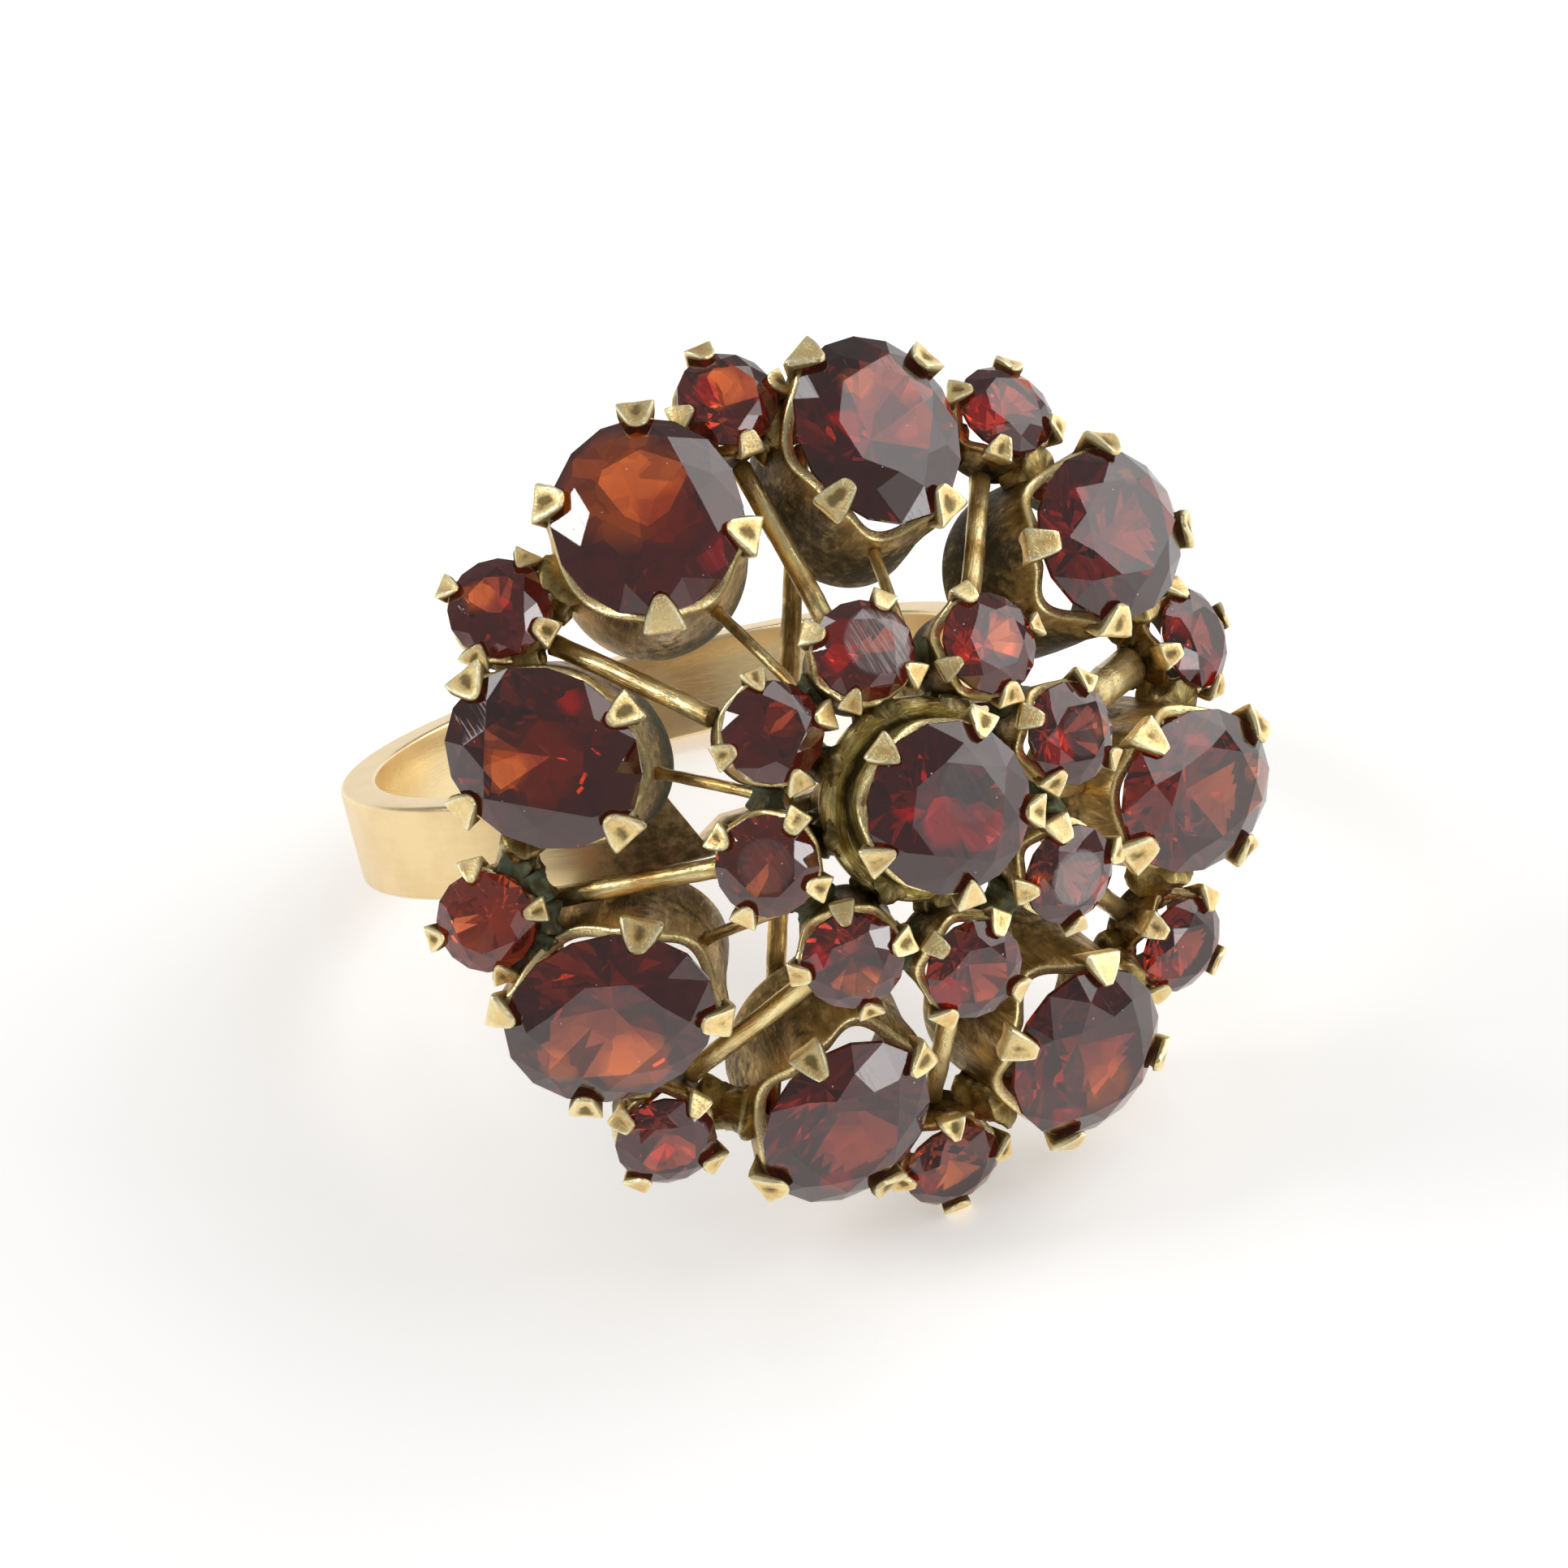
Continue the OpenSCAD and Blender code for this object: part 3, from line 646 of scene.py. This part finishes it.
for kind in ("middle", "inner", "oval", "outer"):
    wallSkin, clawSkin = Skin(), Skin()
    chance = random.Random(clawSeeds[kind])
    for k, row in enumerate(rows[kind]):
        buildCollet(wallSkin, kind, row, k + 1)
        for angle in collets[kind]["claws"]:
            buildClaw(clawSkin, kind, row, angle, chance)
    wallSkin.piece(kind + "Collets", middleGold if kind == "middle" else headGold, "gold", 55)
    clawSkin.piece(kind + "Claws", clawGold, "gold", 38)
print("collets and claws made")

# Wires, solder and the bar: tubes that swell and darken where they are soldered
wires = {
    # the right hand spoke is stout, thick with old solder
    "spoke": {"d": 0.62, "sink": 0.4, "sag": 0.05, "low": -1.4, "high": 1.3, "stout": {2: 1.85}},
    "tie": {"d": 0.36, "height": 1.8, "sag": 0.03},
    "bar": {"d": 0.6, "x": -0.48, "angle": 72.2, "ends": (10.1, -9.7), "z": 10.4},
    "pillar": {"d": 1.4, "foot": 10.0, "drop": 2.8},
}
# joints lie at a depth below the girdles, and sit a little inside the walls they join
joints = {
    "inset": 0.05, "small": 0.8, "large": 0.98,
    "innerDepth": 1.6, "middleDepth": 2.4, "ovalDepth": 1.5,
}
# old solder is heaped round the left hand outer collet, in lumps that start at these angles
heap = {"turns": (95, 125, 155, 185, 215), "span": 24, "reach": 1.78, "depth": 0.5, "d": 0.55}


def buildWire(skin, start, end, d, bright, seed, swell=0.25, sag=0.0, sides=14, stations=30):
    run = end - start
    axis = run.normalized()
    side = axis.cross(Vector((0.3, 0.2, 1))).normalized()
    up = side.cross(axis)
    rings, marks, runs = [], [], []
    for k in range(stations + 1):
        t = k / stations
        nearEnd = min(t, 1 - t) * run.length / d
        fat = 1 + swell * (1 - smooth(nearEnd / 0.9))
        size = d / 2 * fat
        cap = min(t, 1 - t) * run.length
        if cap < size:
            size *= math.sqrt(max(0.02, 1 - (1 - cap / size) ** 2))
        centre = start.lerp(end, t) + up * (sag * math.sin(math.pi * t))
        ring, ringMarks, ringRuns = [], [], []
        for j in range(sides):
            a = 2 * math.pi * j / sides
            out = side * math.cos(a) + up * math.sin(a)
            lump = 1 + 0.09 * noise.noise((centre + out) * 1.7 + Vector((seed, seed, 0)))
            ring.append(centre + out * size * lump)
            solder = 1 - smooth(nearEnd / 1.3)
            patch = 0.7 + 0.9 * noise.noise(centre * 0.9 + Vector((seed, 0, 0)))
            rubbedAndHighlight = bright * (1 - 0.6 * solder) * patch
            ringMarks.append((rubbedAndHighlight, 0.2 + 0.3 * solder, 0.2 * solder))
            ringRuns.append((out.x * size + seed * 5, out.y * size, t * run.length))
        rings.append(ring)
        marks.append(ringMarks)
        runs.append(ringRuns)
    skin.loft(rings, marks, runs)


def wallSpot(kind, row, goal, depth):
    # the place on a stone's wall that faces the goal
    seat = seatMatrix(row, drops[kind])
    local = seat.inverted() @ goal
    angle = math.degrees(math.atan2(local.y, local.x))
    r, t = girdleRadius(row, angle) - joints["inset"], math.radians(angle)
    return seat @ Vector((r * math.cos(t), r * math.sin(t), -depth))


def jointEnds(kindA, a, kindB, b, depth):
    # where the walls of two neighbours face each other
    centreA = seatMatrix(a, drops[kindA]) @ Vector((0, 0, -depth))
    centreB = seatMatrix(b, drops[kindB]) @ Vector((0, 0, -depth))
    return wallSpot(kindA, a, centreB, depth), wallSpot(kindB, b, centreA, depth)


def buildSolder(skin, ends, d, seed, green, rugged=1.0, grimeAndShade=0.6):
    # a lump of solder with a rough skin between two walls
    start, end = ends
    axis = (end - start).normalized()
    side = axis.cross(Vector((0.2, 0.9, 0.4))).normalized()
    up = side.cross(axis)
    rings, marks, runs = [], [], []
    stations, sides = 20, 24
    for k in range(stations + 1):
        t = k / stations
        centre = start.lerp(end, t) + axis * (t - 0.5) * d * 0.5
        off = 2 * t - 1
        size = d / 2 * (1.1 + 0.75 * off ** 2) * math.sqrt(max(0.03, 1 - off ** 8))
        ring, ringMarks, ringRuns = [], [], []
        for j in range(sides):
            angle = 2 * math.pi * j / sides
            out = side * math.cos(angle) + up * math.sin(angle) * 1.25
            spot = centre + out * 0.6
            lump = 1 + 0.3 * rugged * noise.noise(spot * 2.3 + Vector((seed, 0, 0)))
            lump += 0.2 * rugged * noise.noise(spot * 5.2 + Vector((0, 0, seed)))
            ring.append(centre + out * size * lump)
            patch = 0.5 + 0.5 * noise.noise((centre + out) * 1.1 + Vector((0, seed, 0)))
            rubbedAndHighlight = 0.7 * smooth(3.2 * (lump - 0.95))
            ringMarks.append((rubbedAndHighlight, grimeAndShade, green * (0.4 + 1.6 * patch)))
            ringRuns.append(tuple(centre + out))
        rings.append(ring)
        marks.append(ringMarks)
        runs.append(ringRuns)
    skin.loft(rings, marks, runs)


def spokeEnd(kind, row, x):
    return seatMatrix(row, drops[kind]) @ Vector((x, 0, spoke["sink"] - collets[kind]["depth"]))


spokeSkin, tieSkin, solderSkin = Skin(), Skin(), Skin()
inner, oval, outer = rows["inner"], rows["oval"], rows["outer"]
spoke, tie = wires["spoke"], wires["tie"]
for i in range(8):
    after = (i + 1) % 8
    low = spokeEnd("outer", outer[i], spoke["low"])
    high = spokeEnd("inner", inner[i], spoke["high"])
    stout = spoke["stout"].get(i, 1)
    buildWire(spokeSkin, low, high, spoke["d"] * stout, bright=0.8, seed=i, sag=spoke["sag"])
    ends = jointEnds("inner", inner[i], "inner", inner[after], joints["innerDepth"])
    buildSolder(solderSkin, ends, joints["small"], seed=i, green=0.6)
    start = (ends[0] + ends[1]) / 2
    goal = wallSpot("oval", oval[i], start, tie["height"])
    buildWire(tieSkin, start, goal, tie["d"], bright=0.4, seed=i + 20, swell=0.5, sag=tie["sag"])
    ends = jointEnds("middle", rows["middle"][0], "inner", inner[i], joints["middleDepth"])
    buildSolder(solderSkin, ends, joints["small"], seed=i + 9, green=0.25)
    for k, other in enumerate((outer[i], outer[after])):
        ends = jointEnds("oval", oval[i], "outer", other, joints["ovalDepth"])
        seed = i + 18 + 9 * k
        buildSolder(solderSkin, ends, joints["large"], seed, green=0.2, rugged=0.6, grimeAndShade=0.5)
for turn in heap["turns"]:
    ends = []
    for a in (math.radians(turn), math.radians(turn + heap["span"])):
        local = Vector((heap["reach"] * math.cos(a), heap["reach"] * math.sin(a), -heap["depth"]))
        ends.append(seatMatrix(outer[6], drops["outer"]) @ local)
    buildSolder(solderSkin, ends, heap["d"], seed=turn, green=0.5)
spokeSkin.piece("spokes", headGold, "gold")
tieSkin.piece("fineWires", headGold, "gold")
solderSkin.piece("solderJoints", solderGold, "gold")

barSkin, pillarSkin = Skin(), Skin()
bar, pillar = wires["bar"], wires["pillar"]
barTurn = math.radians(bar["angle"])
barWay = Vector((math.cos(barTurn), math.sin(barTurn), 0))
barEnds = [Vector((bar["x"], 0, bar["z"])) + barWay * end for end in bar["ends"]]
buildWire(barSkin, *barEnds, bar["d"], bright=0.1, seed=50, swell=0.3, stations=60)
barSkin.piece("underBar", headGold, "gold")
pillarFoot = Vector((head["shift"], (band["strap"] - band["width"]) / 2, pillar["foot"]))
pillarTop = Vector((head["shift"], 0, head["height"] - pillar["drop"]))
buildWire(
    pillarSkin, pillarFoot, pillarTop, pillar["d"],
    bright=0.2, seed=60, swell=0.3, sides=32, stations=40,
)
pillarSkin.piece("pillar", headGold, "gold")
print("wires, solder, bar and pillar made")

# The stones: scales of their splinters and dust per millimetre, how worn and clear they are, and
# their painted glow
gem = {
    "cloud": (0.45, 2.0, 0.5, 0.6), "splinters": 1.2, "dust": 3.4, "dustShare": (0.9, 0.94),
    "scratchAcross": (14.0, 4.1, 4.7), "scratchAlong": (0.0, 0.4, 0.45),
    "polish": 0.012, "scratched": 0.12, "ior": 1.77, "edge": 0.00003,
    "paintedEmber": (0.011, 0.004, 0.003), "paintedFireGlow": 0.17, "speck": (0.75, 0.72, 0.7),
}


def measured(thread, operation, place, other):
    # a distance or a dot product
    return thread.node("VectorMath", {"operation": operation}, {0: place, 1: other}, 1)


def garnetFinish(name, look):
    material, thread = newFinish(name)
    place = thread.node("TexCoord", None, None, 3) * metre
    moved = place + look["shift"]
    cloud = noiseOf(thread, moved, *gem["cloud"])
    # broken reflections inside the stone are painted as flat polygons of unlike depth
    splinters = {"Vector": moved, "Scale": gem["splinters"]}
    cell = thread.node("TexVoronoi", None, splinters, 1)
    shade = thread.node("SeparateColor", None, {"Color": cell})
    corner = thread.node("TexVoronoi", None, splinters, 2) - look["shift"]
    tint = (cloud * 0.7 + shade * 0.5 - 0.1).within(0.2, 0.75).mix(look["deep"], look["glow"])
    paintedEmber = gem["paintedEmber"]  # a faint painted glow, emitted by the stone's surface
    # each painted fire tints the stone and gives it a painted glow
    for spot, size, hue in look["paintedFires"]:
        apart = measured(thread, "DISTANCE", place * 0.6 + corner * 0.4, spot)
        lit = apart.within(size * 1.1, size * 0.75) * (shade * 0.7 + 0.4)
        tint = lit.mix(tint, fireHues[hue])
        paintedEmber = lit.mix(paintedEmber, tuple(gem["paintedFireGlow"] * c * c for c in fireHues[hue]))
    # a few specks of dust, and fine straight scratches that all run one way
    specks = {"Vector": moved, "Scale": gem["dust"]}
    nearSpeck = thread.node("TexVoronoi", None, specks, 0)
    cell = thread.node("TexVoronoi", None, specks, 1)
    kept = thread.node("SeparateColor", None, {"Color": cell}).within(*gem["dustShare"])
    lines = thread.node("CombineXYZ", None, {
        "X": measured(thread, "DOT_PRODUCT", moved, gem["scratchAcross"]),
        "Y": measured(thread, "DOT_PRODUCT", moved, gem["scratchAlong"]),
    })
    scratches = noiseOf(thread, lines, 1.0, 3.0, 0.6)
    dust = nearSpeck.within(0.11, 0.06) * kept * 0.7
    if look["scuff"]:
        spot, size, strength, lined = look["scuff"]
        veil = scratches.within(0.45, 0.62) * lined + (1 - 0.5 * lined)
        patch = measured(thread, "DISTANCE", place, spot).within(size * 1.08, size * 0.92)
        dust = dust + patch * veil * strength
    clear = thread.node("BsdfPrincipled", None, {
        "Base Color": tint, "IOR": gem["ior"], "Transmission Weight": 1.0,
        "Roughness": gem["polish"] + scratches.within(0.54, 0.7) * gem["scratched"],
        "Emission Color": paintedEmber, "Emission Strength": 1.0,
        "Normal": thread.node("Bevel", {"samples": 2}, {"Radius": gem["edge"]}),
    })
    speck = thread.node("BsdfPrincipled", None, {"Base Color": gem["speck"], "Roughness": 0.7})
    surface = thread.node("MixShader", None, {"Fac": dust, 1: clear, 2: speck})
    body = thread.node("VolumeAbsorption", None, {
        "Color": look["body"], "Density": look["density"],
    })
    thread.node("OutputMaterial", None, {"Surface": surface, "Volume": body})
    return material


# body and density say what light is left after a few millimetres,
# deep and glow are the painted tints of dark and bright splinters of reflection
garnets = {
    "wine": {
        "deep": (0.26, 0.06, 0.04), "glow": (0.54, 0.12, 0.06),
        "body": (0.50, 0.085, 0.05), "density": 700.0,
    },
    "red": {
        "deep": (0.28, 0.06, 0.03), "glow": (0.58, 0.14, 0.05),
        "body": (0.54, 0.10, 0.035), "density": 640.0,
    },
    "brown": {
        "deep": (0.28, 0.09, 0.04), "glow": (0.54, 0.19, 0.07),
        "body": (0.58, 0.17, 0.04), "density": 700.0,
    },
    "light": {
        "deep": (0.60, 0.18, 0.08), "glow": (0.90, 0.36, 0.17),
        "body": (0.68, 0.17, 0.06), "density": 560.0,
    },
}
# hues of the painted fires
fireHues = {
    "red": (1.0, 0.13, 0.08), "pink": (1.0, 0.15, 0.18),
    "orange": (1.0, 0.42, 0.10), "paintedEmber": (0.62, 0.18, 0.07),
}
# each stone's kind and its painted fires, reflections and glow painted on: right, up, size in
# millimetres from its middle, hue
stoneLooks = {
    "middle": [("wine", [
        (-0.55, -0.2, 0.75, "pink"), (0.5, -0.6, 0.7, "pink"),
        (1.8, 0.6, 0.35, "pink"), (-1.5, 0.4, 0.4, "red"),
    ])],
    "inner": [
        ("red", [(-0.5, 0.45, 0.5, "red"), (-1.0, -0.1, 0.5, "red")]),
        ("red", [(-0.95, 0.0, 0.55, "red"), (0.15, 0.0, 0.6, "orange")]),
        ("wine", [(-0.9, -0.2, 0.5, "red"), (0.75, 0.15, 0.35, "orange")]),
        ("wine", [(-1.15, 0.3, 0.4, "orange"), (0.7, -0.5, 0.3, "red")]),
        ("wine", [(-0.95, -0.25, 0.5, "red"), (0.0, -0.8, 0.4, "paintedEmber")]),
        ("wine", [(0.3, -0.5, 0.6, "orange"), (-0.9, 0.5, 0.4, "pink")]),
        ("brown", [(0.0, 0.1, 0.7, "paintedEmber"), (-0.95, -0.4, 0.25, "red")]),
        ("wine", [(0.1, 0.3, 0.5, "paintedEmber")]),
    ],
    "oval": [
        ("wine", [
            (-0.35, 1.3, 0.5, "orange"), (1.0, 0.5, 0.45, "paintedEmber"), (-1.2, 0.2, 0.55, "red"),
        ]),
        ("wine", [
            (-1.3, 1.4, 0.45, "pink"), (0.9, 1.4, 0.45, "orange"), (-0.4, -0.5, 0.6, "paintedEmber"),
        ]),
        ("brown", [
            (-0.1, 1.7, 0.6, "red"), (1.8, 0.2, 0.45, "orange"), (0.0, 0.0, 0.25, "red"),
        ]),
        ("wine", [
            (0.1, -0.7, 0.95, "orange"), (-1.3, -1.5, 0.6, "pink"), (0.4, 0.6, 0.5, "paintedEmber"),
        ]),
        ("wine", [
            (-2.1, -1.0, 0.45, "pink"), (0.1, -0.6, 0.9, "paintedEmber"), (-0.7, -1.5, 0.6, "red"),
        ]),
        ("brown", [
            (-1.8, -0.9, 0.6, "orange"), (0.5, -1.3, 1.1, "orange"), (1.0, -0.1, 0.5, "paintedEmber"),
        ]),
        ("brown", [
            (1.5, 1.5, 0.5, "red"), (0.1, -0.2, 1.3, "paintedEmber"), (-0.9, 0.0, 0.7, "orange"),
        ]),
        ("brown", [
            (-0.5, 0.9, 1.9, "orange"), (0.6, -0.6, 1.0, "paintedEmber"), (1.7, -2.1, 0.8, "pink"),
        ]),
    ],
    "outer": [
        ("red", [(-0.2, 0.2, 0.6, "orange"), (-0.7, 0.2, 0.4, "red")]),
        ("wine", [(-0.9, 0.1, 0.55, "red"), (0.75, 0.5, 0.35, "orange")]),
        ("wine", [(-0.7, 0.7, 0.5, "red"), (-0.2, -0.9, 0.5, "red")]),
        ("wine", [(-0.95, -0.3, 0.5, "red")]),
        ("brown", [(-1.0, 0.1, 0.5, "red"), (-0.3, 0.1, 0.4, "orange")]),
        ("wine", [(-0.1, 0.0, 0.4, "red"), (-0.5, -0.6, 0.35, "paintedEmber")]),
        ("light", [(0.0, 0.0, 1.0, "paintedEmber"), (-1.1, 0.6, 0.3, "pink")]),
        ("wine", [(-0.5, 0.5, 0.5, "orange"), (0.3, -0.1, 0.3, "red")]),
    ],
}
# facets dulled by wear: right, up, size, strength, share of it in scratches
scuffs = {
    "inner_stone_1": (0.4, 0.05, 1.0, 0.2, 1), "inner_stone_4": (-0.04, 0.06, 0.84, 0.21, 0.15),
    "inner_stone_7": (0.0, 0.1, 0.8, 0.05, 0.5), "inner_stone_3": (0.1, 0.0, 0.7, 0.05, 0.5),
    "middle_stone": (0.6, 0.5, 1.0, 0.03, 0.7),
}
crownHeight = 0.16  # of a stone's width


def fireSpot(kind, row, right, up):
    # a place on the crown, given to the right and up with the head seen face on
    reach, way = math.hypot(right, up), math.atan2(up, right) - math.radians(row[0])
    local = Vector((reach * math.cos(way), reach * math.sin(way), crownHeight * row[5]))
    return tuple(ringToFloor @ (seatMatrix(row, drops[kind]) @ local) * metre)


for kind, looks in stoneLooks.items():
    for k, (row, (body, paintedFires)) in enumerate(zip(rows[kind], looks)):
        nodeName = "middle_stone" if kind == "middle" else kind + "_stone_" + str(k + 1)
        shift = 3.1 * k + 17 * len(kind)  # so that no two stones show the same splinters
        look = dict(garnets[body], shift=(shift, 0.6 * shift, 0.8 * shift), paintedFires=[
            (fireSpot(kind, row, right, up), size, hue) for right, up, size, hue in paintedFires
        ])
        right, up, *worn = scuffs.get(nodeName, (0, 0))
        look["scuff"] = (fireSpot(kind, row, right, up), *worn) if worn else None
        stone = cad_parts[nodeName]
        stone.data.materials.clear()
        stone.data.materials.append(garnetFinish("garnet_" + nodeName, look))
print("garnets cut")

# Floor, lights and camera
studio = {
    "floor": (0.93, 0.925, 0.915), "floorPale": (0.95, 0.945, 0.94), "floorSize": 3,
    "glow": 0.33, "glowColour": (1.0, 0.98, 0.955), "aim": (0, 0, 0.01),
    "world": (0.95, 0.97, 1.0), "worldStrength": 0.28,
    "bounces": 10, "transmissionBounces": 8, "glossyBounces": 4,
    # place, size, strength in watts
    "lamps": [
        ("leftSoft", (-0.5, 0.02, 0.33), (0.18, 0.17), 1.1),
        ("frontPanel", (0.347, -0.444, 0.215), (0.22, 0.26), 0.12),
        ("frontStrip", (0.49, -0.343, 0.062), (0.25, 0.115), 0.4),
        ("frontGlint", (0.483, -0.268, 0.244), (0.105, 0.085), 0.2),
        ("backGlint", (-0.3, 0.32, 0.42), (0.105, 0.105), 0.13),
        ("rightPanel", (0.42, 0.12, 0.3), (0.6, 0.6), 2.2),
    ],
}
bpy.ops.mesh.primitive_grid_add(
    x_subdivisions=2, y_subdivisions=2, size=studio["floorSize"], location=(0, 0, 0)
)
table = bpy.context.object
table.name = "paleTable"
floorMaterial, thread = newFinish("paleFloor")
floorPlace = thread.node("TexCoord", None, None, 3) * metre
floorTone = noiseOf(thread, floorPlace, 0.02, 2.0).mix(studio["floor"], studio["floorPale"])
floorShader = thread.node("BsdfPrincipled", None, {
    "Base Color": floorTone, "Roughness": 0.75,
    "Emission Color": studio["glowColour"], "Emission Strength": studio["glow"],
})
thread.node("OutputMaterial", None, {"Surface": floorShader})
table.data.materials.append(floorMaterial)

for name, place, size, power in studio["lamps"]:
    lamp = bpy.data.lights.new(name, "AREA")
    lamp.shape, lamp.size, lamp.size_y, lamp.energy = "RECTANGLE", size[0], size[1], power
    holder = bpy.data.objects.new(name, lamp)
    holder.location = place
    aim = Vector(studio["aim"]) - Vector(place)
    holder.rotation_euler = aim.to_track_quat("-Z", "Y").to_euler()
    holder.visible_camera = False
    bpy.context.collection.objects.link(holder)

world = bpy.data.worlds.new("studioAir")
world.use_nodes = True
air = world.node_tree.nodes["Background"]
air.inputs["Color"].default_value = (*studio["world"], 1)
air.inputs["Strength"].default_value = studio["worldStrength"]

# The camera: its place, its three axes, and its lens, sensor and clipping
camera = {
    "place": (-0.00049, -0.23646, 0.21559), "right": (0.9905, -0.0906, -0.1039),
    "up": (0.1379, 0.6531, 0.7446), "back": (0.0004, -0.7518, 0.6594),
    "lens": 242.0, "sensor": 36, "clip": (0.01, 20),
}
lens = bpy.data.cameras.new("closeLens")
lens.lens, lens.sensor_width = camera["lens"], camera["sensor"]
lens.clip_start, lens.clip_end = camera["clip"]
eye = bpy.data.objects.new("closeLens", lens)
columns = [camera[side] for side in ("right", "up", "back", "place")]
eye.matrix_world = Matrix([[column[k] for column in columns] for k in range(3)] + [(0, 0, 0, 1)])
bpy.context.collection.objects.link(eye)
scene = bpy.context.scene
scene.world, scene.camera = world, eye
scene.view_settings.view_transform = "Standard"
scene.cycles.max_bounces = studio["bounces"]
scene.cycles.transmission_bounces = studio["transmissionBounces"]
scene.cycles.glossy_bounces = studio["glossyBounces"]
print("studio lit")
